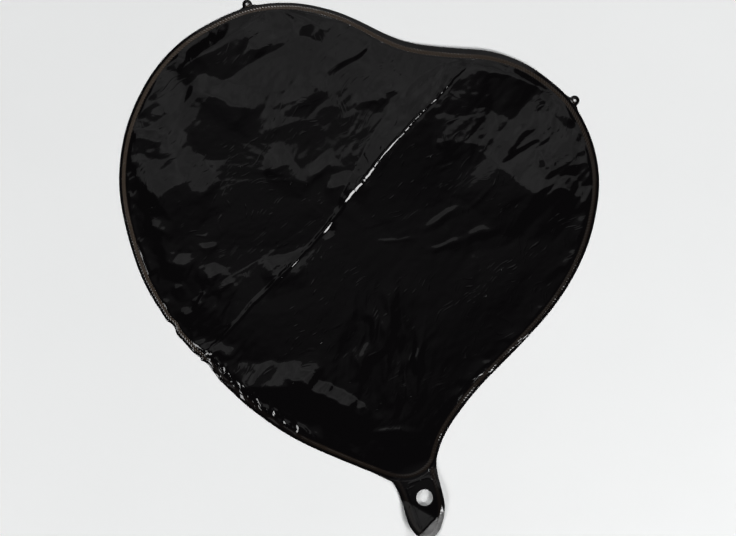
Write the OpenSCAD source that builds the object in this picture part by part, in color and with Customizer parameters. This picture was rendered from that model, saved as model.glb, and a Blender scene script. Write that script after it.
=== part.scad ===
// Heart-shaped foil balloon, 45 cm size, empty and lying flat with its front panel up.
// Two panels of film are sealed to each other round the edge. A flat valve of two thin plies
// runs from the tail, past the nozzle hole, through the neck and into the air chamber.
// Origin: middle of the outline, on the surface that the balloon lies on. +Y points to the lobes.

/* [Film] */
// Thickness of each panel
film = 0.4; // [0.3:0.05:0.6]
// Thickness of each valve ply
ply = 0.1; // [0.05:0.01:0.15]
// Width of the seal round the edge
seal = 5.5; // [4:0.5:8]

/* [Loose film over the chamber] */
// How high the slack front panel stands over the seal
crown = 6; // [2:0.5:15]
// Extra height of the packing crease across the front panel
ridge = 3; // [0:0.5:6]
// Distance from the crease at which that extra height has gone
ridge_half = 45; // [20:1:80]

/* [Tail] */
// Middle of the nozzle hole
hole_at = [61.2, -213.8];
// Radius of the nozzle hole, which is punched through all four layers
hole_r = 7.75; // [6:0.25:10]
// Direction of the tail, from its tip to the chamber
tail_dir = 109; // [100:1:120]

/* [Hanging tabs] */
// Middle of the hole in the tab on the left lobe
left_tab_at = [-105, 248];
// Middle of the hole in the tab on the right lobe
right_tab_at = [202, 158];
// Radius of each tab's round end
tab_r = 4.5; // [3.5:0.25:6]
// Radius of the hole in each tab
tab_hole_r = 1.5; // [1:0.25:2]

/* [Valve] */
// Width of the valve plies
valve_w = 25; // [20:1:30]
// Length of the plies beyond the hole, towards the chamber
valve_in = 110; // [80:5:140]
// Length of the plies beyond the hole, towards the tail's tip
valve_out = 17; // [12:1:22]

/* [Hidden] */
$fn = 64;

foil_black = [0.05, 0.05, 0.055];
clear_film = [0.85, 0.88, 0.9, 0.6];

left_tab_dir = 196;  // heading of the edge where each tab stands, going round anticlockwise
right_tab_dir = 129;
edge_steps = 6;      // straight pieces between two knots on the panels' edge
crown_steps = 3;     // the same on the crown's rim
rings = 7;           // rings of facets between the crown's rim and its middle
bite = 1.2;          // how far the crown's rim runs into the seal band
rim = 0.1;           // skin left above and below that rim
through = 2;         // how far each drill passes the film

// Each knot is [x, y, heading]: a point on the outline and the way the edge runs through it,
// going round anticlockwise. The two knots that end the packing crease have names.
crease_top = [118, 204.5, 172];
crease_foot = [-150, -87, 314];
lobes = [
    [87.5, -143, 56], [125.5, -97, 45], [167, -54, 48], [202, -5, 62], [221, 47, 79],
    [225, 80, 90], [218, 121, 109], [202, 153, 124], [181, 175, 141], [152, 194, 155],
    crease_top, [82, 207.5, 174], [46, 212.5, 166], [13, 226, 153], [-31, 244, 166],
    [-66, 249.5, 179], [-95, 247.5, 190], [-139, 231, 208], [-169, 211.5, 221],
    [-193, 185, 235], [-215, 142, 250], [-225, 83, 270], [-218, 36, 284], [-198, -20, 297],
    [-179, -54, 307], crease_foot, [-77, -149, 326], [-24, -176, 337.5]
];
tail = [
    [10, -189, 340], [31, -200, 313], [41, -221, 288], [49, -243, 305], [63, -252.5, 0],
    [77, -241, 72], [80, -219, 98], [72.5, -184, 95], [76.5, -163, 66]
];
chamber_foot = [[22, -194.5, 339], [53, -196.5, 20], [73, -176, 78]];

// Turn from one heading to the next, between -180 and 180
function turn(a, b) = (b[2] - a[2] + 540) % 360 - 180;
// Length of a curve's handles: the one that draws a true arc when both ends turn alike
function reach(a, b) = norm([b.x - a.x, b.y - a.y]) / (3 * pow(cos(turn(a, b) / 4), 2));
// Points and headings along the cubic curve from knot a to knot b, in n steps, without the last
function curve(a, b, n) =
    let (
        r = reach(a, b),
        p0 = [a.x, a.y],
        p1 = p0 + r * [cos(a[2]), sin(a[2])],
        p3 = [b.x, b.y],
        p2 = p3 - r * [cos(b[2]), sin(b[2])]
    )
    [for (i = [0:n - 1])
        let (
            s = i / n,
            u = 1 - s,
            p = u * u * u * p0 + 3 * u * u * s * p1 + 3 * u * s * s * p2 + s * s * s * p3,
            d = u * u * (p1 - p0) + 2 * u * s * (p2 - p1) + s * s * (p3 - p2)
        )
        [p.x, p.y, atan2(d.y, d.x)]];
// A closed outline through a list of knots, with n steps from each to the next
function outline(knots, n) =
    [for (i = [0:len(knots) - 1]) each curve(knots[i], knots[(i + 1) % len(knots)], n)];
// The same outline moved inwards by d
function inset(points, d) = [for (p = points) [p.x - d * sin(p[2]), p.y + d * cos(p[2])]];

body_edge = outline(concat(lobes, tail), edge_steps);
chamber_knots = concat(lobes, chamber_foot);

// The crown's spokes all meet in the middle of the crease, so two of them run along it
crease_line = inset([crease_top, crease_foot], seal - bite);
middle = (crease_line[0] + crease_line[1]) / 2;
crease_way = (crease_line[1] - crease_line[0]) / norm(crease_line[1] - crease_line[0]);
// Distance of a point from the crease
function off_crease(p) = abs((p.x - middle.x) * crease_way.y - (p.y - middle.y) * crease_way.x);
// Height over the seal at a point, where r runs from 0 in the middle to 1 at the edge
function slack(p, r) =
    (crown + ridge * max(0, 1 - off_crease(p) / ridge_half)) * pow(1 - r * r, 0.6);

// Point k of the crown, counted ring by ring from the rim inwards
function crown_point(rim_points, k, z) =
    let (
        n = len(rim_points),
        r = 1 - floor(k / n) / rings,
        p = middle + r * (rim_points[k % n] - middle)
    )
    [p.x, p.y, z + slack(p, r)];

// The slack front film over the chamber: a thin shell of rings, closed by a fan in the middle
module crown_shell() {
    edge = inset(outline(chamber_knots, crown_steps), seal - bite);
    n = len(edge);
    count = n * rings;
    upper = [for (k = [0:count - 1]) crown_point(edge, k, 2 * film - rim)];
    lower = [for (k = [0:count - 1]) crown_point(edge, k, film + rim)];
    top = slack(middle, 0);
    points = concat(upper, lower, [
        [middle.x, middle.y, 2 * film - rim + top],
        [middle.x, middle.y, film + rim + top]
    ]);
    bands = [for (j = [0:rings - 2], i = [0:n - 1])
        let (a = j * n + i, b = j * n + (i + 1) % n, c = a + n, d = b + n) [a, b, c, d]];
    last = (rings - 1) * n;
    polyhedron(points, concat(
        [for (q = bands) each [[q[0], q[2], q[1]], [q[1], q[2], q[3]]]],
        [for (q = bands) each [
            [q[0] + count, q[1] + count, q[2] + count],
            [q[1] + count, q[3] + count, q[2] + count]
        ]],
        [for (i = [0:n - 1]) [last + i, 2 * count, last + (i + 1) % n]],
        [for (i = [0:n - 1]) [last + i + count, last + (i + 1) % n + count, 2 * count + 1]],
        [for (i = [0:n - 1]) let (b = (i + 1) % n) each [[i, b, i + count], [b, b + count, i + count]]]
    ));
}

// One side of a tab's flared root, from the round end to the edge it stands on
function flare(side) =
    [for (i = [0:edge_steps]) let (a = 90 * i / edge_steps)
        [side * tab_r * (2.2 - 1.2 * cos(a)), 1.7 * tab_r * sin(a)]];

// One hanging tab: a round end on a flared root, standing on an edge that runs along dir
module tab_shape(at, dir) {
    left = flare(-1);
    translate(at) rotate(dir) {
        circle(r = tab_r);
        polygon(concat(flare(1), [for (i = [edge_steps:-1:0]) left[i]]));
    }
}

// The outline of both panels, with tail and tabs
module panel_shape() {
    polygon([for (p = body_edge) [p.x, p.y]]);
    tab_shape(left_tab_at, left_tab_dir);
    tab_shape(right_tab_at, right_tab_dir);
}

// Drills for the nozzle hole and both tab holes
module drills() {
    translate([hole_at.x, hole_at.y, -through]) cylinder(r = hole_r, h = 2 * film + 2 * through);
    for (at = [left_tab_at, right_tab_at])
        translate([at.x, at.y, -through]) cylinder(r = tab_hole_r, h = 2 * film + 2 * through);
}

// One valve ply from z upwards: a straight strip with a round outer end
module strip(z) {
    translate([hole_at.x, hole_at.y, z]) rotate(tail_dir) linear_extrude(ply) {
        translate([valve_w / 2 - valve_out, -valve_w / 2])
            square([valve_in + valve_out - valve_w / 2, valve_w]);
        translate([valve_w / 2 - valve_out, 0]) circle(d = valve_w);
    }
}

module back_panel() {
    color(foil_black) difference() {
        linear_extrude(film) panel_shape();
        strip(film - ply);
        drills();
    }
}

module valve_back_ply() {
    color(clear_film) difference() {
        strip(film - ply);
        drills();
    }
}

module valve_front_ply() {
    color(clear_film) difference() {
        strip(film);
        drills();
    }
}

module front_panel() {
    color(foil_black) difference() {
        union() {
            translate([0, 0, film]) linear_extrude(film) difference() {
                panel_shape();
                polygon(inset(outline(chamber_knots, edge_steps), seal));
            }
            crown_shell();
        }
        strip(film);
        drills();
    }
}

back_panel();
valve_back_ply();
valve_front_ply();
front_panel();
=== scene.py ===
"""Heart-shaped foil balloon, empty and lying flat on a table, for Blender.

Each panel is one sheet of film. Its outline is the same chain of curves that the frame holds, and
its height over the table is a sum of plain functions of x and y: slow swells, straight folds, the
packing crease, facets of crinkled foil and puckers along the seal. Lengths inside those functions
are millimetres, and the meshes are made in metres.
"""
import math

import bpy
import numpy as np
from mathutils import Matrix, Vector


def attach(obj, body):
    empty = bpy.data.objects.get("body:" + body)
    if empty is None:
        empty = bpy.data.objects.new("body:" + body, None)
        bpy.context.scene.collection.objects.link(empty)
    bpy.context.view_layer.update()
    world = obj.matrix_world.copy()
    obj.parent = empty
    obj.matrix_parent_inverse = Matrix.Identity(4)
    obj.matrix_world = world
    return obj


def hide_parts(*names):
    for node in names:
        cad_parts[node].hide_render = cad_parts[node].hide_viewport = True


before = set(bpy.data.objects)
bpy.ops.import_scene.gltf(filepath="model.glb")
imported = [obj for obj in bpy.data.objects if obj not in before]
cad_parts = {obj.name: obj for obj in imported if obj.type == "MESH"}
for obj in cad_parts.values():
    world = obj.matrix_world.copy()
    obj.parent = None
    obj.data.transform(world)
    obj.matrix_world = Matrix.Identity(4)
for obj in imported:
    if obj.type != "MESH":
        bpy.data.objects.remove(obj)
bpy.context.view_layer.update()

MM = 0.001

# ---------------------------------------------------------------- the flat pattern, in mm

# Each knot is x, y and the heading of the edge, going round anticlockwise
CREASE_TOP = (118, 204.5, 172)
CREASE_FOOT = (-150, -87, 314)
LOBES = [
    (87.5, -143, 56), (125.5, -97, 45), (167, -54, 48), (202, -5, 62), (221, 47, 79),
    (225, 80, 90), (218, 121, 109), (202, 153, 124), (181, 175, 141), (152, 194, 155),
    CREASE_TOP, (82, 207.5, 174), (46, 212.5, 166), (13, 226, 153), (-31, 244, 166),
    (-66, 249.5, 179), (-95, 247.5, 190), (-139, 231, 208), (-169, 211.5, 221),
    (-193, 185, 235), (-215, 142, 250), (-225, 83, 270), (-218, 36, 284), (-198, -20, 297),
    (-179, -54, 307), CREASE_FOOT, (-77, -149, 326), (-24, -176, 337.5),
]
NECK = [(22, -194.5, 339), (53, -196.5, 20), (73, -176, 78)]
# The tail leaves the heart's rim at the points nearest to the first and last of these
TAIL_START, TAIL_END = (12, -190, 340), (75, -168, 70)
TAIL = [
    (31, -200, 313), (41, -221, 288), (49, -243, 305), (63, -252.5, 0), (77, -241, 72),
    (80, -219, 98), (72.5, -184, 95),
]
SEAL = 5.5                          # width of the seal band
HOLE_AT, HOLE_R = np.array([61.2, -213.8]), 7.75
TABS = [((-105, 248), 196), ((202, 158), 129)]  # middle of each tab's hole, heading of its edge
TAB_R, TAB_HOLE_R = 4.5, 1.5
TAIL_WAY = 109                      # heading of the tail, from its tip to the chamber
MIDDLE = np.array([-16.0, 58.8])    # middle of the packing crease
VALVE_W, VALVE_IN, VALVE_OUT = 25, 110, 17  # width, and length past the hole to both sides

SEAL_Z = 0.8     # height of the seal's middle layer over the table
GAP = 0.03       # from one layer of film to the next where they are sealed


def smooth(t, low=0.0, high=1.0):
    """0 below low, 1 above high, and a smooth cubic in between."""
    t = np.clip((t - low) / (high - low), 0, 1)
    return t * t * (3 - 2 * t)


def way(degrees):
    """Unit vector at a heading."""
    a = np.radians(degrees)
    return np.stack([np.cos(a), np.sin(a)], -1)


def turned(x, y, degrees):
    """The point's coordinates on axes turned by that angle."""
    c, s = way(degrees)
    return x * c + y * s, y * c - x * s


def curve_points(knots, steps, closed=True):
    """Points along cubic curves from knot to knot. A handle is as long as the one that draws a
    true arc: chord / (3 cos^2(turn / 4))."""
    k = np.array(knots, float)
    a, b = (k, np.roll(k, -1, 0)) if closed else (k[:-1], k[1:])
    turn = (b[:, 2] - a[:, 2] + 540) % 360 - 180
    reach = np.linalg.norm((b - a)[:, :2], axis=1) / (3 * np.cos(np.radians(turn / 4)) ** 2)
    p0, p3 = a[:, :2], b[:, :2]
    p1, p2 = p0 + reach[:, None] * way(a[:, 2]), p3 - reach[:, None] * way(b[:, 2])
    s = (np.arange(steps) / steps)[None, :, None]
    u = 1 - s
    p = (u ** 3 * p0[:, None] + 3 * u * u * s * p1[:, None]
         + 3 * u * s * s * p2[:, None] + s ** 3 * p3[:, None])
    return p.reshape(-1, 2)


def resampled(points, count, closed=True):
    """The same line as count points evenly spaced along it."""
    p = np.vstack([points, points[:1]]) if closed else points
    run = np.r_[0, np.cumsum(np.linalg.norm(np.diff(p, axis=0), axis=1))]
    at = np.linspace(0, run[-1], count, endpoint=not closed)
    return np.stack([np.interp(at, run, p[:, i]) for i in (0, 1)], 1)


def inward(points):
    """Unit normals of a closed anticlockwise line, pointing inwards."""
    t = np.roll(points, -1, 0) - np.roll(points, 1, 0)
    t = t / np.linalg.norm(t, axis=1)[:, None]
    return np.stack([-t[:, 1], t[:, 0]], 1)


def nearest(points, line, chunk=2000):
    """Distance from each point to a densely sampled line, and the index of its nearest point."""
    far, index = np.empty(len(points)), np.empty(len(points), int)
    for i in range(0, len(points), chunk):
        p = points[i:i + chunk]
        d = (p[:, None, 0] - line[None, :, 0]) ** 2 + (p[:, None, 1] - line[None, :, 1]) ** 2
        index[i:i + chunk] = d.argmin(1)
        far[i:i + chunk] = np.sqrt(d.min(1))
    return far, index


# ---------------------------------------------------------------- the height of the film, in mm

LATTICE = 64     # cells along each side of a lattice


def lattice(seed):
    """A square of random values from -1 to 1, repeated endlessly by noise() and facets()."""
    return np.random.default_rng(seed).uniform(-1, 1, (LATTICE, LATTICE))


def noise(x, y, cell, seed):
    """Smooth noise: lattice values a cell apart, blended with the quintic 6t^5-15t^4+10t^3. The
    lattice is shifted, so that none of its lines runs through the origin."""
    t = lattice(seed)
    u, v = x / cell + 17.3, y / cell + 41.7
    i, j = np.floor(u).astype(int), np.floor(v).astype(int)
    fu, fv = (f ** 3 * (f * (f * 6 - 15) + 10) for f in (u - i, v - j))
    i, j, k, m = i % LATTICE, j % LATTICE, (i + 1) % LATTICE, (j + 1) % LATTICE
    low = t[i, j] * (1 - fu) + t[k, j] * fu
    high = t[i, m] * (1 - fu) + t[k, m] * fu
    return low * (1 - fv) + high * fv


def facets(x, y, cell, seed):
    """Flat triangles between lattice values a cell apart, which meet in sharp straight folds. The
    lattice is sheared, so that its triangles are equal-sided, and shifted as in noise()."""
    t = lattice(seed)
    u, v = (x - y * 0.577) / cell + 13.1, y * 1.155 / cell + 29.4
    i, j = np.floor(u).astype(int), np.floor(v).astype(int)
    fu, fv = u - i, v - j
    i, j, k, m = i % LATTICE, j % LATTICE, (i + 1) % LATTICE, (j + 1) % LATTICE
    a, b, c, d = t[i, j], t[k, j], t[i, m], t[k, m]
    return np.where(fu + fv < 1, a + fu * (b - a) + fv * (c - a),
                    d + (1 - fu) * (c - d) + (1 - fv) * (b - d))


# Swells of the slack film. Each one is a ridge like a tent: the middle of its crest line x, y, the
# line's heading and length, how far the film takes to come down on its left and on its right,
# and the crest's height
SWELLS = [
    # left lobe
    (-174, 76, 38, 78, 60, 45, 2.2), (-201, 122, 8, 36, 8, 18, 1.1),
    (-131, 213, 34, 104, 15, 32, 3.2), (-86, 213, 33, 58, 10, 8, 0.8),
    (-46, 230, -10, 34, 14, 11, 1.1), (-9, 198, 36, 60, 20, 6, 0.9),
    (-46, 162, 54, 52, 22, 14, 1.1), (-126, 158, -14, 74, 20, 55, 2.0),
    (-62, 134, 8, 60, 20, 16, 0.5), (28, 166, 45, 40, 16, 8, 0.8),
    (12, 156, -15, 30, 10, 8, 0.6), (37, 160, 62, 36, 12, 4, 0.35),
    # between the left lobe and the packing crease
    (-76, 97, 14, 28, 14, 18, 1.0), (-60, 84, -20, 28, 12, 17, 0.8),
    (-36, 95, 42, 40, 12, 16, 0.9), (-14, 77, 8, 42, 13, 18, 1.0), (-142, 84, 62, 46, 10, 12, 0.5),
    # left edge
    (-187, 38, -15, 34, 12, 20, 1.1), (-168, 8, -20, 28, 10, 18, 1.0),
    (-139, 19, 4, 22, 6, 14, 0.6), (-157, -34, 35, 42, 9, 16, 1.0), (-137, -6, 12, 30, 9, 18, 1.0),
    (-150, -24, 50, 26, 7, 12, 0.7), (-178, 22, -30, 26, 7, 14, 0.6),
    (-128, -20, 20, 24, 7, 15, 0.7), (-172, -14, 20, 20, 6, 14, 0.6),
    # foot of the crease
    (-70, -3, 16, 38, 18, 18, 1.3), (-137, -79, 3, 52, 13, 24, 1.7),
    (-92, -108, -5, 104, 24, 36, 3.2), (-46, -100, 30, 36, 18, 12, 1.1),
    (-28, -122, -31, 104, 14, 28, 3.2), (33, -152, 5, 54, 4, 8, 0.6),
    # right lobe
    (147, 86, -38, 122, 66, 50, 3.0), (92, 122, 2, 54, 28, 20, 1.0),
    (140, 183, -22, 104, 8, 34, 1.7), (148, 126, 45, 58, 14, 5, 0.8), (150, 116, 25, 44, 10, 4, 0.6),
    (172, 100, 108, 34, 4, 9, 0.8), (128, 184, -5, 36, 6, 5, 0.4), (198, 66, -20, 50, 14, 9, 0.9),
    (77, 117, -35, 24, 5, 6, 0.35), (82, 100, 15, 24, 3, 5, 0.2),
    # broad hollows in the smooth film
    (-85, 20, 5, 130, 75, 60, -1.6), (130, 20, 10, 120, 60, 80, -1.2),
    # arcs on the smooth film right of the crease
    (74, 47, 27, 48, 5, 7, 0.4), (80, 21, 10, 34, 4, 6, 0.36), (109, 34, 38, 42, 5, 7, 0.45),
    (108, 67, 46, 36, 2.2, 4, 0.16), (34, 28, 2, 44, 2.5, 4, 0.17),
    (138, 37, 56, 42, 1.8, 3, 0.12), (133, 38, 57, 34, 1.8, 3, 0.1),
]
# Crumpled stretches: middle x, y, radius and strength
CRUMPLED = [
    (-160, -10, 60, 0.8), (-135, -62, 48, 2.2), (-95, -120, 60, 0.6), (-40, -150, 50, 0.5),
    (195, 95, 62, 1.9), (150, 140, 60, 0.6), (0, 150, 60, 0.7), (-60, 100, 50, 0.3),
    (-190, 120, 50, 0.5), (30, -80, 80, 0.45), (40, -150, 50, 0.5), (-70, 0, 28, 1.6),
    (-90, 190, 80, 0.25), (60, 185, 50, 0.5),
]


def tent(u, v, length, left, right):
    """Height of a swell whose crest line runs along u: 1 on the line, straight down to 0 at left
    or right of it, and down to 0 over the last third of the length at both ends."""
    across = np.where(v > 0, 1 - v / left, 1 + v / right)
    ends = np.clip((length / 2 - np.abs(u)) / (0.3 * length), 0, 1)
    return np.maximum(across, 0) * ends


def near(x, y, at, full, none):
    """1 within a distance of a point, 0 beyond a larger one."""
    return 1 - smooth(np.hypot(x - at[0], y - at[1]), full, none)


def crease_axes(x, y):
    """u runs along the packing crease from its foot, and v is the distance to its left."""
    foot, top = np.array(CREASE_FOOT[:2]), np.array(CREASE_TOP[:2])
    heading = math.degrees(math.atan2(*(top - foot)[::-1]))
    return turned(x - foot[0], y - foot[1], heading)


def lift(x, y):
    """How far the whole balloon, seal and all, stands up round the top of the packing crease: a
    tent that grows along the crease and comes down over 90 mm on its left and 62 on its right."""
    u, v = crease_axes(x, y)
    return 2.2 * smooth(u, 150, 350) * np.maximum(1 - np.where(v > 0, v / 90, -v / 62), 0)


CREASE_FALL = 0.55      # slope of the crease's steep face


def crease_height(x, y):
    """The packing crease: a long straight left flank that ends in a pinched crest, a steep face
    on the right, and a gentle slope beyond it. The crest line wanders and the face is wider in
    some places than in others, so that it shines in short pieces. Where it runs extra deep, the
    film beyond it comes back up within 7 mm."""
    u, v = crease_axes(x, y)
    v = v + 2.6 * np.sin((u - 40) / 57) - 1.2 * noise(u, v * 0, 40, 41) - 2 * smooth(u, 196, 204)
    v = v + (0.5 * noise(u, v * 0, 3.6, 45) + 0.5 * noise(u, v * 0, 8, 46)) * np.exp(-(v / 5) ** 2)
    end = smooth(u, 335, 390)
    wide = 3.5 + 22 * smooth(u, 170, 320) - 18 * end
    crest = 0.12 * wide + 0.3 + 0.3 * smooth(u, 190, 215) - 0.2 * end
    pinch = 0.35 * smooth(u, 200, 230) * np.clip(1 - v / 1.3, 0, 1)
    left = crest * np.maximum(1 - v / wide, 0) + pinch
    run = 2.5 - 1.0 * smooth(u, 225, 330) - 1.4 * (1 - smooth(u, 196, 212))
    deep = 1.4 * np.exp(-((u - 126) / 6) ** 2) + 1.8 * np.exp(-((u - 173) / 7) ** 2)
    deep = deep + run * (0.12 * noise(u, v * 0, 9, 42) + 0.25 * noise(u, v * 0, 30, 43))
    top = crest + 0.35 * smooth(u, 200, 230)
    beyond_face = -v - run - deep
    right = top - CREASE_FALL * np.clip(-v, 0, run + deep)
    right = right + CREASE_FALL * deep * np.clip(beyond_face / 7, 0, 1)
    right = right - (top - CREASE_FALL * run) * np.clip(beyond_face / (70 - 54 * end), 0, 1)
    return np.where(v > 0, left, right)


def from_seal(x, y, edge):
    """Distance from the free edge as the seal counts it. The die lay askew, so round the notch
    between the lobes the margin outside the bead is wider: edge^2 / (edge + extra)."""
    extra = 4.5 * np.exp(-(((x - 80) / 75) ** 2 + ((y - 208) / 60) ** 2))
    return edge ** 2 / (edge + extra + 1e-6)


TRODDEN = (-98, -122)        # middle of the lower left edge, which has been bent and crumpled
TRODDEN_REACH = (48, 82)     # wholly trodden up to the first distance, and not beyond the second
CRUSHED = (-80, -134)        # where the film inside that edge is crushed most
TUCKED = (-160, -75)         # middle of the stretch of that edge that is pushed in
TUCK, TUCKED_TO = 3.4, (119, 141)  # how far it is pushed, and the point that it is pushed towards
NECK_AT = (48, -190)


def trodden(x, y):
    """1 on the trodden stretch of the lower left edge, and 0 away from it."""
    return near(x, y, TRODDEN, *TRODDEN_REACH)


def seal_height(x, y, edge, along):
    """The sealed edge over the table: a free margin that droops outwards, then a round bead. The
    bead is low on the tail and where the edge is trodden, and nothing droops across the neck."""
    droop = -0.6 * np.clip(1 - edge / 2.7, 0, 1) * (1 - near(x, y, NECK_AT, 15, 26))
    bead = 0.26 * np.sin(np.pi * np.clip((edge - 2.6) / 3.4, 0, 1)) ** 2
    bead = bead * (1 - 0.6 * smooth(-y, 185, 195)) * (1 - 0.7 * trodden(x, y))
    waves = 0.08 * noise(along, edge * 0, 23, 21) + 0.04 * noise(along, edge, 5, 22)
    waves = waves * (1 - 0.85 * smooth(-y, 170, 188))
    return SEAL_Z + droop + bead * (1 + 0.6 * noise(along, edge * 0, 7, 23)) + waves


def tucked(x, y, edge, along):
    """The flat place of each point, with the lower left edge pushed in by about 3 mm. All the
    inward normals of that stretch meet near one point, so the push is towards that point."""
    push = TUCK * near(x, y, TUCKED, 25, 78) * (1 - smooth(edge, 0, 16))
    push = push * (1 + 0.6 * noise(along, along * 0, 10, 51))
    dx, dy = TUCKED_TO[0] - x, TUCKED_TO[1] - y
    far = np.hypot(dx, dy)
    return x + push * dx / far, y + push * dy / far


def crinkles(x, y, wx, wy):
    """Facets of three sizes, drawn out along a heading of 46 degrees: faint on the smooth film,
    and stronger in the crumpled stretches."""
    rough = 0.22
    for x0, y0, radius, strength in CRUMPLED:
        rough = rough + strength * near(x, y, (x0, y0), 0.2 * radius, radius)
    u, v = turned(wx, wy, 46)
    return rough * (0.30 * facets(u * 0.5, v, 19, 8) + 0.15 * facets(u * 0.45, v, 9, 9)
                    + 0.13 * facets(u * 0.3, v, 4.2, 10))


def hanging_folds(x, y, wx, wy):
    """Long upright folds above the neck, as in a hanging cloth: facets drawn out along a heading
    of 84 degrees, within an ellipse."""
    inside = 1 - smooth(np.hypot((x - 25) / 65, (y + 78) / 85), 0.3, 1)
    u, v = turned(wx, wy, 84)
    return inside * (1.1 * facets(u * 0.25, v, 12, 14) + 0.5 * facets(u * 0.35, v, 5.5, 15))


def trodden_bumps(x, y, edge, along):
    """The trodden edge: small folds across the seal, and lumps on the film just inside it, which
    are nearly twice as high where it is crushed most."""
    folds = 1.3 * np.abs(facets(along * 0.3, edge, 3.4, 25)) * smooth(edge, 0.6, 2.5)
    folds = folds * (1 - smooth(edge, 6, 10))
    lumps = facets(along * 0.8 + edge, edge, 4, 26) * smooth(edge, 4, 8) * (1 - smooth(edge, 11, 18))
    lumps = lumps * (1.3 + 1.2 * near(x, y, CRUSHED, 18, 42))
    return np.maximum(trodden(x, y) * (folds + lumps), 0)


def tail_axes(x, y):
    """along runs from the nozzle hole to the tail's tip, and across to the tail's right edge."""
    return turned(x - HOLE_AT[0], y - HOLE_AT[1], TAIL_WAY + 180)


def film_height(x, y, edge, along):
    """Height of the front film over the seal. Swells, crinkles and the crease are added in
    coordinates that three sizes of noise have pushed about, so that no edge of a swell is
    straight. Near the seal, puckers run across it and die out inwards. The film rises from the
    seal at a slope of about 0.3: its height h and that slope's height r blend into the soft
    minimum h r / (h^6 + r^6)^(1/6)."""
    u, v = turned(x, y, 50)
    fleck = facets(u * 0.3, v, 5, 12)
    wx = x + 5 * noise(x, y, 34, 1) + 2.2 * noise(u * 0.45, v, 11, 2) + 0.9 * fleck
    wy = y + 5 * noise(x, y, 34, 3) + 2.2 * noise(u * 0.45, v, 11, 4) + 0.9 * fleck
    h = 0.7 + 1.1 * smooth(edge, 8, 60) * (1 - near(x, y, (150, 170), 55, 110))
    h = h + 0.35 * noise(x, y, 80, 5) + 0.15 * noise(x, y, 30, 6)
    for x0, y0, heading, length, left, right, height in SWELLS:
        h = h + height * tent(*turned(wx - x0, wy - y0, heading), length, left, right)
    h = h + crinkles(x, y, wx, wy) + hanging_folds(x, y, wx, wy)
    h = h + crease_height(0.8 * x + 0.2 * wx, 0.8 * y + 0.2 * wy) * smooth(edge, 5, 14)
    # the puckers are faint at the notch between the lobes
    notch = np.exp(-(((x - 80) / 80) ** 2 + ((y - 205) / 50) ** 2))
    pucker = noise(along + 0.4 * edge, edge * 0.25, 9, 24) * (1 - smooth(edge, 8, 20))
    h = np.maximum(h + 0.7 * (1 - 0.75 * notch) * pucker, 0.3)
    steep = 0.3 + trodden(x, y) * (0.16 + 0.25 * noise(along, edge, 13, 27))
    rise = 0.02 + steep * np.maximum(edge - SEAL, 0)
    h = h * rise / (h ** 6 + rise ** 6) ** (1 / 6) * smooth(edge, 5.3, 7)
    h = h + trodden_bumps(x, y, edge, along)
    # the neck and the tail lie nearly flat
    toward_tip, _ = tail_axes(x, y)
    return h * (1 - 0.93 * smooth(toward_tip, -52, -27))


# ---------------------------------------------------------------- the bent tail, in mm

# Folds across the tail's end: a point of each one, and the direction in which the film is bent
END_FOLD = (np.array([48.4, -219.8]), 240.5)
CORNER_FOLDS = ((np.array([73.4, -231.5]), -46.0), (np.array([78.6, -214.6]), -15.0))
END_RISE, CORNER_FALL = 0.24, 0.36   # slopes beyond those folds
WRINKLED = (71, -191)                # middle of the short wrinkles right of the neck


def beyond(x, y, fold):
    """How far a point is beyond a fold, with the bend at the fold spread over a millimetre."""
    at, bent = fold
    n = way(bent)
    s = (x - at[0]) * n[0] + (y - at[1]) * n[1]
    return (s + np.sqrt(s * s + 0.5)) / 2


def curled(x, y, up):
    """Places of film points that lie at (x, y) in the flat pattern and up above the table. The
    tail leaves the table in a soft arch, higher on its right. Its end is bent up about one fold,
    and its right-hand corner down about two others. The weld round the valve's pocket is a fine
    ridge along a box with round corners, and short wrinkles cross the film right of the neck."""
    along, across = tail_axes(x, y)
    z = smooth(along, -36, 4) * (3.1 + 0.05 * across)
    z = z + END_RISE * beyond(x, y, END_FOLD) * smooth(along, -10, 0)
    corner = np.maximum(*(beyond(x, y, fold) for fold in CORNER_FOLDS)) * smooth(along, -14, -2)
    streaks = facets(along * 0.5, across, 3, 81) + noise(along, across, 5, 82)
    z = z - CORNER_FALL * corner + 0.09 * streaks * smooth(corner, 0, 2)
    off_weld = np.hypot(np.maximum(np.abs(across) - 6.8, 0), np.maximum(-along - 11, 0)) - 6
    z = z + 0.2 * np.exp(-(off_weld / 0.7) ** 2) * smooth(along, -30, -15)
    z = z + 0.22 * facets(along * 0.3, across, 2.6, 83) * near(x, y, WRINKLED, 3, 13)
    return np.stack([x, y, up + z], -1)


# ---------------------------------------------------------------- meshes

class Pattern:
    """Points of one sheet in its flat pattern, with its quads. Parts that share border points
    are welded where the points are the same."""

    def __init__(self):
        self.points, self.quads, self.edge, self.along = [], [], [], []
        self.count = 0

    def add(self, points, quads, edge, along):
        """Adds a part, with each point's distance from the free edge and its run along it."""
        self.points.append(points)
        self.quads.append(quads + self.count)
        self.edge.append(edge)
        self.along.append(along)
        self.count += len(points)

    def welded(self, step=1e-4):
        """All parts as one: points closer than step become one point."""
        p, edge = np.vstack(self.points), np.concatenate(self.edge)
        along, quads = np.concatenate(self.along), np.vstack(self.quads)
        key = np.round(p / step).astype(np.int64)
        _, first, same = np.unique(key, axis=0, return_index=True, return_inverse=True)
        quads = same.reshape(-1)[quads]
        return p[first], quads, edge[first], along[first]


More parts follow.
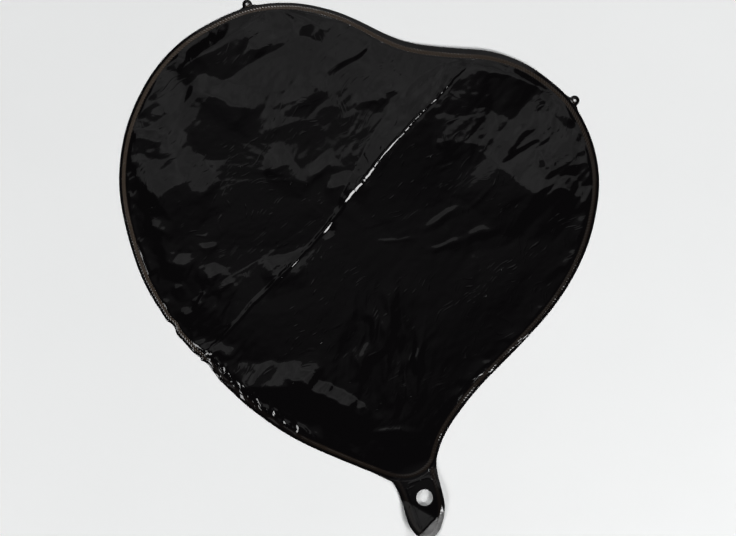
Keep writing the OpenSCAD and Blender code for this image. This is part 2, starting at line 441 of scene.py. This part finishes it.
def rows_between(inner, outer, rows):
    """Points and quads between two closed lines with as many points each, joined by straight
    rungs that are cut into equal rows."""
    v = np.linspace(0, 1, rows + 1)[:, None, None]
    p = inner[None] * (1 - v) + outer[None] * v
    index = np.arange(p.shape[0] * p.shape[1]).reshape(p.shape[:2])
    nxt = np.roll(index, -1, 1)
    quads = np.stack([index[:-1], index[1:], nxt[1:], nxt[:-1]], -1)
    return p.reshape(-1, 2), quads.reshape(-1, 4), np.repeat(v[:, 0, 0], p.shape[1])


def heart_grid(border, middle):
    """Points and quads of a heart filled with one square grid, whose rim is the border. A cell's
    ring in the square, from 0 in the middle to 1 at the rim, says how far it is along the
    straight spoke from the middle to the border. The crease lies on the square's diagonal."""
    n = len(border) // 4
    i, j = np.meshgrid(np.arange(n + 1), np.arange(n + 1), indexing="ij")
    a, b = 2 * i - n, 2 * j - n
    ring = np.maximum(np.abs(a), np.abs(b))
    safe = np.where(ring == 0, 1, ring)
    a, b = a / safe, b / safe
    # place round the rim, from 0 to 4, anticlockwise from the corner (-1, -1)
    place = np.select([(b <= -1) & (a < 1), (a >= 1) & (b < 1), (b >= 1) & (a > -1)],
                      [(a + 1) / 2, 1 + (b + 1) / 2, 2 + (1 - a) / 2], 3 + (1 - b) / 2)
    at = place * n
    k = np.floor(at + 1e-6).astype(int)
    f = np.maximum(at - k, 0)[..., None]
    rim = border[k % (4 * n)] * (1 - f) + border[(k + 1) % (4 * n)] * f
    p = middle + (ring / n)[..., None] * (rim - middle)
    index = np.arange((n + 1) ** 2).reshape(n + 1, n + 1)
    quads = np.stack([index[:-1, :-1], index[1:, :-1], index[1:, 1:], index[:-1, 1:]], -1)
    return p.reshape(-1, 2), quads.reshape(-1, 4)


def heart_rim(n):
    """4n points round the heart without its tail, starting at the foot of the crease. The crease
    cuts the rim in two, and each part has 2n steps, shorter towards the crease's two ends."""
    line = curve_points(LOBES + NECK, 60)
    foot, top = (nearest(np.array([k[:2]], float), line)[1][0] for k in (CREASE_FOOT, CREASE_TOP))
    line = np.roll(line, -foot, 0)
    cut = (top - foot) % len(line)
    line = np.vstack([line, line[:1]])
    halves = (line[:cut + 1], line[cut:])
    steps = 20 * n
    fine = [resampled(h, steps + 1, closed=False) for h in halves]
    t = np.linspace(0, 1, 2 * n + 1)[:-1]
    pick = np.round(steps * (t - 0.4 * np.sin(math.tau * t) / math.tau)).astype(int)
    return np.vstack([h[pick] for h in fine])


def outgrowth(rim, start, knots, end, hole_at, hole_r, step, rows):
    """A tail or tab that grows out of the rim between its points nearest to start and end: rungs
    from its hole to a closed line through the knots and back along the rim. Returns what
    Pattern.add() takes."""
    a, b = (nearest(np.array([q[:2]], float), rim)[1][0] for q in (start, end))
    chain = [(*rim[a], start[2]), *knots, (*rim[b], end[2])]
    free = curve_points(chain, 40, closed=False)
    free = resampled(np.vstack([free, rim[b]]),
                     int(np.linalg.norm(np.diff(free, axis=0), axis=1).sum() / step) + 2, False)
    back = np.arange(b - 1, a, -1) if b > a else np.arange(b - 1 + len(rim), a, -1) % len(rim)
    loop = np.vstack([free, rim[back]])
    spoke = loop - hole_at
    inner = hole_at + hole_r * spoke / np.linalg.norm(spoke, axis=1)[:, None]
    points, quads, _ = rows_between(inner, loop, rows)
    dense = resampled(free, 4 * len(free), closed=False)
    edge, index = nearest(points, dense)
    return points, quads, edge, index * step / 4


def panel_pattern(n, seal_rows, tail_step, tail_rows):
    """The flat pattern of one panel: heart, seal band, tail and both tabs in one sheet. The heart
    is a grid of n by n quads, and tail_step is the spacing of the rungs round the tail, in mm."""
    rim = heart_rim(n)
    border = rim + SEAL * inward(rim)
    run = np.r_[0, np.cumsum(np.linalg.norm(np.diff(rim, axis=0), axis=1))]
    sheet = Pattern()
    p, q = heart_grid(border, MIDDLE)
    edge, index = nearest(p, rim)
    sheet.add(p, q, edge, run[index])
    p, q, v = rows_between(border, rim, seal_rows)
    sheet.add(p, q, SEAL * (1 - v), np.tile(run, seal_rows + 1))
    sheet.add(*outgrowth(rim, TAIL_START, TAIL, TAIL_END, HOLE_AT, HOLE_R, tail_step, tail_rows))
    for (x, y), d in TABS:
        c, t, o = np.array([x, y], float), way(d), way(d - 90)
        side = [(*(c + k * TAB_R * t + out * TAB_R * o), d + h)
                for k, out, h in ((-1, 0, -90), (0, 1, 0), (1, 0, 90))]
        ends = [(*(c + k * 2.1 * TAB_R * t - TAB_R * o), d) for k in (-1, 1)]
        sheet.add(*outgrowth(rim, ends[0], side, ends[1], c, TAB_HOLE_R, 0.6, 7))
    p, quads, edge, along = sheet.welded()
    return p, quads, from_seal(*p.T, edge), along


def film_mesh(name, places, quads, edge, along):
    """A smooth mesh of quads from places in mm. Its UV map holds the run along the seal and the
    distance from the free edge, in metres."""
    mesh = bpy.data.meshes.new(name)
    mesh.from_pydata(places * MM, [], quads)
    mesh.update()
    loops = np.empty(len(mesh.loops), np.int32)
    mesh.loops.foreach_get("vertex_index", loops)
    uv = np.stack([along[loops], edge[loops]], 1) * MM
    layer = mesh.uv_layers.new(name="seal")
    layer.data.foreach_set("uv", uv.astype(np.float32).ravel())
    mesh.polygons.foreach_set("use_smooth", np.ones(len(mesh.polygons), bool))
    obj = bpy.data.objects.new(name, mesh)
    bpy.context.scene.collection.objects.link(obj)
    return obj


def front_panel():
    """The front film: the flat pattern raised by film_height()."""
    p, quads, edge, along = panel_pattern(n=280, seal_rows=9, tail_step=0.9, tail_rows=26)
    x, y = p.T
    up = seal_height(x, y, edge, along) + lift(x, y) + film_height(x, y, edge, along)
    places = curled(*tucked(x, y, edge, along), up + 1.5 * GAP)
    return film_mesh("front_panel_film", places, quads, edge, along)


def back_panel():
    """The back film: flat on the table under the chamber, and up at the seal round its edge."""
    p, quads, edge, along = panel_pattern(n=110, seal_rows=3, tail_step=1.5, tail_rows=14)
    x, y = p.T
    up = seal_height(x, y, edge, along) + lift(x, y)
    places = curled(*tucked(x, y, edge, along), up - 1.5 * GAP)
    inside = smooth(edge, 5, 14) * smooth(np.hypot(x - HOLE_AT[0], y - HOLE_AT[1]), 26, 44)
    places[:, 2] += inside * (0.06 + 0.04 * noise(x, y, 12, 61) - places[:, 2])
    return film_mesh("back_panel_film", places, quads[:, ::-1], edge, along)


def valve_ply(name, layer):
    """One valve ply: rungs from the nozzle hole to the outline of a straight strip with a round
    outer end. Inside the chamber it lies between the panels, in limp waves. layer counts the
    layers of film upwards from the middle of the seal."""
    half = VALVE_W / 2
    turn = np.radians(np.linspace(90, 270, 40))
    cap = np.stack([half - VALVE_OUT + half * np.cos(turn), half * np.sin(turn)], 1)
    strip = np.vstack([cap, [[VALVE_IN, -half], [VALVE_IN, half]]])
    t, s = way(TAIL_WAY), way(TAIL_WAY + 90)
    loop = resampled(HOLE_AT + strip[:, :1] * t + strip[:, 1:] * s, 260)
    spoke = loop - HOLE_AT
    inner = HOLE_AT + HOLE_R * spoke / np.linalg.norm(spoke, axis=1)[:, None]
    p, quads, _ = rows_between(inner, loop, 40)
    x, y = p.T
    along, across = turned(x - HOLE_AT[0], y - HOLE_AT[1], TAIL_WAY)
    places = curled(x, y, np.full(len(x), SEAL_Z + layer * GAP))
    places[:, 2] += smooth(along, 32, 60) * (0.3 + 0.15 * layer + 0.2 * noise(along, across, 9, 71))
    edge = half - np.abs(across)
    return film_mesh(name, places, quads, edge, along)


# ---------------------------------------------------------------- materials

# the second colour is the heat seal's brown, made light enough to also stand in for a painted
# highlight on the seal's bead
INK, SEAL_BROWN_AND_HIGHLIGHT = "#080708", "#332a22"
DENT_LENGTH, DENT_WIDTH = 12, 2.4      # mm
STRAND = 2.9                           # mm of seal from one strand of its rope pattern to the next


def linear(hex_colour):
    """An sRGB hex colour as linear RGBA."""
    c = [int(hex_colour[i:i + 2], 16) / 255 for i in (1, 3, 5)]
    return [v / 12.92 if v <= 0.04045 else ((v + 0.055) / 1.055) ** 2.4 for v in c] + [1.0]


def node(tree, kind, sockets=(), **own):
    """A new node of a kind. own are its own properties. sockets gives each input's name or number
    with its value, or with the output that is linked to it."""
    made = tree.nodes.new("ShaderNode" + kind)
    for key, value in own.items():
        setattr(made, key, value)
    for key, value in dict(sockets).items():
        if isinstance(value, bpy.types.NodeSocket):
            tree.links.new(value, made.inputs[key])
        else:
            made.inputs[key].default_value = value
    return made


def new_material(name):
    """An empty node material and its shader."""
    mat = bpy.data.materials.new(name)
    mat.use_nodes = True
    return mat, mat.node_tree, mat.node_tree.nodes["Principled BSDF"]


def seal_bead(tree):
    """The seam map's run and distance from the free edge, and a mask that is 1 on the bead."""
    seam = node(tree, "SeparateXYZ", {0: node(tree, "UVMap", uv_map="seal").outputs["UV"]})
    run, edge = seam.outputs["X"], seam.outputs["Y"]
    on = node(tree, "MapRange", {0: edge, 1: 2.2 * MM, 2: 3.2 * MM},
              interpolation_type="SMOOTHSTEP")
    off = node(tree, "MapRange", {0: edge, 1: 6.6 * MM, 2: 5.6 * MM},
               interpolation_type="SMOOTHSTEP")
    mask = node(tree, "Math", {0: on.outputs[0], 1: off.outputs[0]}, operation="MULTIPLY")
    return run, edge, mask.outputs[0]


def crush_with_painted_highlight(tree, place, bead):
    """How far the seal's die has flattened the face of the film, from 0 to 1, with a painted highlight
    mixed in: the mask grows towards the upper left, the side where the bead catches the light, and
    little shows on the tail and on the trodden edge."""
    # painted highlight: the seal's brown, matt mask grows towards the upper left, the side where its
    # bead catches the light
    left_up = node(tree, "VectorMath", {0: place, 1: (-0.75, 0.66, 0)}, operation="DOT_PRODUCT")
    lit_side = node(tree, "MapRange", {0: left_up.outputs["Value"], 1: -0.12, 2: 0.16, 3: 0.3, 4: 1})
    up = node(tree, "SeparateXYZ", {0: place}).outputs["Y"]
    tail = node(tree, "MapRange", {0: up, 1: -0.2, 2: -0.185, 3: 0.4, 4: 1})
    middle = (TRODDEN[0] * MM, TRODDEN[1] * MM, 0)
    away = node(tree, "VectorMath", {0: place, 1: middle}, operation="DISTANCE")
    bare = node(tree, "MapRange", {0: away.outputs["Value"], 1: TRODDEN_REACH[0] * MM,
                                   2: TRODDEN_REACH[1] * MM, 3: 0.15, 4: 1})
    for share in (lit_side, tail, bare):
        bead = node(tree, "Math", {0: bead, 1: share.outputs[0]}, operation="MULTIPLY").outputs[0]
    return bead


def handling_dents(tree, place):
    """Shallow dents from handling, as a normal. Some cells of a drawn-out cell pattern hold one
    each, in the middle. Noise about 45 mm long sways the rows, and noise about 110 mm long gathers
    the dents in drifts."""
    sway = node(tree, "TexNoise", {0: place, "Scale": 22, "Detail": 1})
    swayed = node(tree, "VectorMath", {0: sway.outputs["Color"], 1: (0.05, 0.05, 0), 2: place},
                  operation="MULTIPLY_ADD")
    grain = node(tree, "Mapping", {
        0: swayed.outputs[0], "Rotation": (0, 0, math.radians(52)),
        "Scale": (DENT_LENGTH * MM, DENT_WIDTH * MM, DENT_WIDTH * MM)}, vector_type="TEXTURE")
    cell = node(tree, "TexVoronoi", {0: grain.outputs[0], "Scale": 1})
    dent = node(tree, "MapRange", {0: cell.outputs["Distance"], 1: 0.05, 2: 0.4, 3: 1, 4: 0})
    chosen = node(tree, "MapRange", {0: cell.outputs["Color"], 1: 0.4, 2: 0.8})
    spread = node(tree, "TexNoise", {0: place, "Scale": 9, "Detail": 1})
    drift = node(tree, "MapRange", {0: spread.outputs["Fac"], 1: 0.38, 2: 0.5})
    depth = node(tree, "Math", {0: dent.outputs[0], 1: chosen.outputs[0]}, operation="MULTIPLY")
    depth = node(tree, "Math", {0: depth.outputs[0], 1: drift.outputs[0]}, operation="MULTIPLY")
    return node(tree, "Bump", {"Height": depth.outputs[0], "Distance": 0.1 * MM}).outputs[0]


def rope_pattern(tree, run, edge, crush_and_highlight, normal):
    """The seal's rope pattern, added to a normal: strands that cross the bead at a slant."""
    slant = node(tree, "Math", {0: edge, 1: 0.7, 2: run}, operation="MULTIPLY_ADD")
    turns = node(tree, "Math", {0: slant.outputs[0], 1: math.tau / (STRAND * MM)},
                 operation="MULTIPLY")
    strands = node(tree, "Math", {0: turns.outputs[0]}, operation="SINE")
    height = node(tree, "Math", {0: strands.outputs[0], 1: crush_and_highlight}, operation="MULTIPLY")
    return node(tree, "Bump", {"Height": height.outputs[0], "Distance": 0.12 * MM,
                               "Normal": normal}).outputs[0]


def printed_foil():
    """Polyester film, metallised and printed black: a thin hard clear face over dense ink. It
    mirrors its surroundings like a dark window, and shallow dents break the image up. The heat
    seal has flattened the face in a rope pattern, so there it is matt and a little brown, and the
    tail's bent corner is scuffed matt and pale. The seal's brown is also a painted highlight of its
    bead, and grows towards the upper left, the side that catches the light."""
    mat, tree, shader = new_material("black_printed_polyester_foil")
    shader.inputs["IOR"].default_value = 1.52
    place = node(tree, "TexCoord").outputs["Object"]
    run, edge, bead = seal_bead(tree)
    # painted highlight: the seal's brown follows this mask, which is stronger on the upper left side
    # that catches the light
    crush_and_highlight = crush_with_painted_highlight(tree, place, bead)
    colour = node(tree, "Mix", {0: crush_and_highlight, "A": linear(INK), "B": linear(SEAL_BROWN_AND_HIGHLIGHT)},
                  data_type="RGBA")
    rough = node(tree, "MapRange", {0: crush_and_highlight, 3: 0.07, 4: 0.28})
    at, bent = CORNER_FOLDS[0]
    past = node(tree, "VectorMath", {0: place, 1: (*way(bent), 0)}, operation="DOT_PRODUCT")
    fold = float(way(bent) @ at) * MM
    rough = node(tree, "MapRange", {0: past.outputs["Value"], 1: fold, 2: fold + 1 * MM,
                                    3: rough.outputs[0], 4: 0.42})
    tree.links.new(colour.outputs["Result"], shader.inputs["Base Color"])
    tree.links.new(rough.outputs[0], shader.inputs["Roughness"])
    normal = rope_pattern(tree, run, edge, crush_and_highlight, handling_dents(tree, place))
    tree.links.new(normal, shader.inputs["Normal"])
    return mat


def valve_film():
    """Blown polyethylene film: clear, limp and slightly milky."""
    mat, _, shader = new_material("clear_polyethylene_film")
    shader.inputs["Base Color"].default_value = linear("#dfe3e4")
    shader.inputs["Roughness"].default_value = 0.25
    shader.inputs["IOR"].default_value = 1.51
    shader.inputs["Transmission Weight"].default_value = 0.8
    return mat


def painted_table():
    """Matt white paint on board: nearly even in tone, with faint patches about 140 mm wide."""
    mat, tree, shader = new_material("matt_white_painted_board")
    place = node(tree, "TexCoord").outputs["Object"]
    grain = node(tree, "TexNoise", {0: place, "Scale": 7, "Detail": 3})
    tone = node(tree, "Mix", {0: grain.outputs["Fac"], "A": linear("#f0f1f1"), "B": linear("#f4f5f5")},
                data_type="RGBA")
    tree.links.new(tone.outputs["Result"], shader.inputs["Base Color"])
    shader.inputs["Roughness"].default_value = 0.75
    return mat


# ---------------------------------------------------------------- the balloon

foil = printed_foil()
clear = valve_film()
front, back = front_panel(), back_panel()
plies = [valve_ply("valve_front_ply_film", 0.5), valve_ply("valve_back_ply_film", -0.5)]

for piece, name, slot, mat in (
        (front, "front_panel", "front_film", foil), (back, "back_panel", "back_film", foil),
        (plies[0], "valve_front_ply", "valve_film", clear),
        (plies[1], "valve_back_ply", "valve_film", clear)):
    piece.data.materials.append(mat)
    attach(piece, "root")
    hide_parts(name)

# ---------------------------------------------------------------- table, light and camera


def area_light(name, place, target, size, radiance):
    """A white rectangular soft light at a place, facing a target. Its power is its radiance
    times pi times its area."""
    data = bpy.data.lights.new(name, "AREA")
    data.shape, data.size, data.size_y = "RECTANGLE", size[0], size[1]
    data.energy = radiance * math.pi * size[0] * size[1]
    lamp = bpy.data.objects.new(name, data)
    aim = Vector(target) - Vector(place)
    lamp.location = place
    lamp.rotation_euler = aim.to_track_quat("-Z", "Y").to_euler()
    bpy.context.scene.collection.objects.link(lamp)
    return lamp


table = bpy.data.meshes.new("table")
table.from_pydata([(-3, -3, 0), (3, -3, 0), (3, 3, 0), (-3, 3, 0)], [], [(0, 1, 2, 3)])
table.materials.append(painted_table())
table_top = bpy.data.objects.new("table", table)
bpy.context.scene.collection.objects.link(table_top)

world = bpy.data.worlds.new("studio")
world.use_nodes = True
sky = world.node_tree
direction = node(sky, "TexCoord").outputs["Generated"]
# A pale patch of ceiling overhead, which falls off to a dark room
aside = node(sky, "VectorMath", {0: direction, 1: (-0.05, 0.2, 1.0)}, operation="DISTANCE")
pale = node(sky, "MapRange", {0: aside.outputs["Value"], 1: 0.18, 2: 0.36, 3: 0.072, 4: 0.01})
sky.nodes["Background"].inputs["Color"].default_value = linear("#ffffff")
sky.links.new(pale.outputs[0], sky.nodes["Background"].inputs["Strength"])
bpy.context.scene.world = world

# A lit ceiling, whose near edge is the border between the black and the grey parts of the image
# in the film. It is a little lighter in some places than in others.
CEILING_Z, CEILING_W = 10.0, 8.4           # height and width
CEILING_NEAR, CEILING_FAR = 0.98, 12.0     # y of its near and far edges
CEILING_RADIANCE = 0.34
CEILING_Y = (CEILING_FAR + CEILING_NEAR) / 2
overhead = area_light("overhead_panel", (0, CEILING_Y, CEILING_Z), (0, CEILING_Y, 0),
                      (CEILING_W, CEILING_FAR - CEILING_NEAR), CEILING_RADIANCE)
overhead.data.use_nodes = True
ceiling = overhead.data.node_tree
spot = node(ceiling, "NewGeometry").outputs["Parametric"]
cloud = node(ceiling, "TexNoise", {0: spot, "Scale": 5, "Detail": 2})
level = node(ceiling, "MapRange", {0: cloud.outputs["Fac"], 1: 0.32, 2: 0.65, 3: 0.5, 4: 1.1})
ceiling.links.new(level.outputs[0], ceiling.nodes["Emission"].inputs["Strength"])
SIDE = 0.8                # width of the square side lights
for name, place, radiance in (
        ("right_front_soft_box", (1.2, -1.15, 1.3), 15), ("left_soft_box", (-1.5, -0.6, 1.2), 8.3),
        ("back_soft_box", (0.35, 1.9, 1.1), 11.4)):
    area_light(name, place, (0, 0, 0), (SIDE, SIDE), radiance)

VIEW_W = 0.690            # width of the table that the camera takes in
VIEW_AT = (0.0083, 0.0009)
SENSOR, LENS = 36, 75
cam = bpy.data.cameras.new("camera")
cam.sensor_width, cam.lens = SENSOR, LENS
camera = bpy.data.objects.new("camera", cam)
camera.location = (*VIEW_AT, VIEW_W * LENS / SENSOR)
bpy.context.scene.collection.objects.link(camera)
bpy.context.scene.camera = camera
bpy.context.scene.view_settings.view_transform = "Standard"
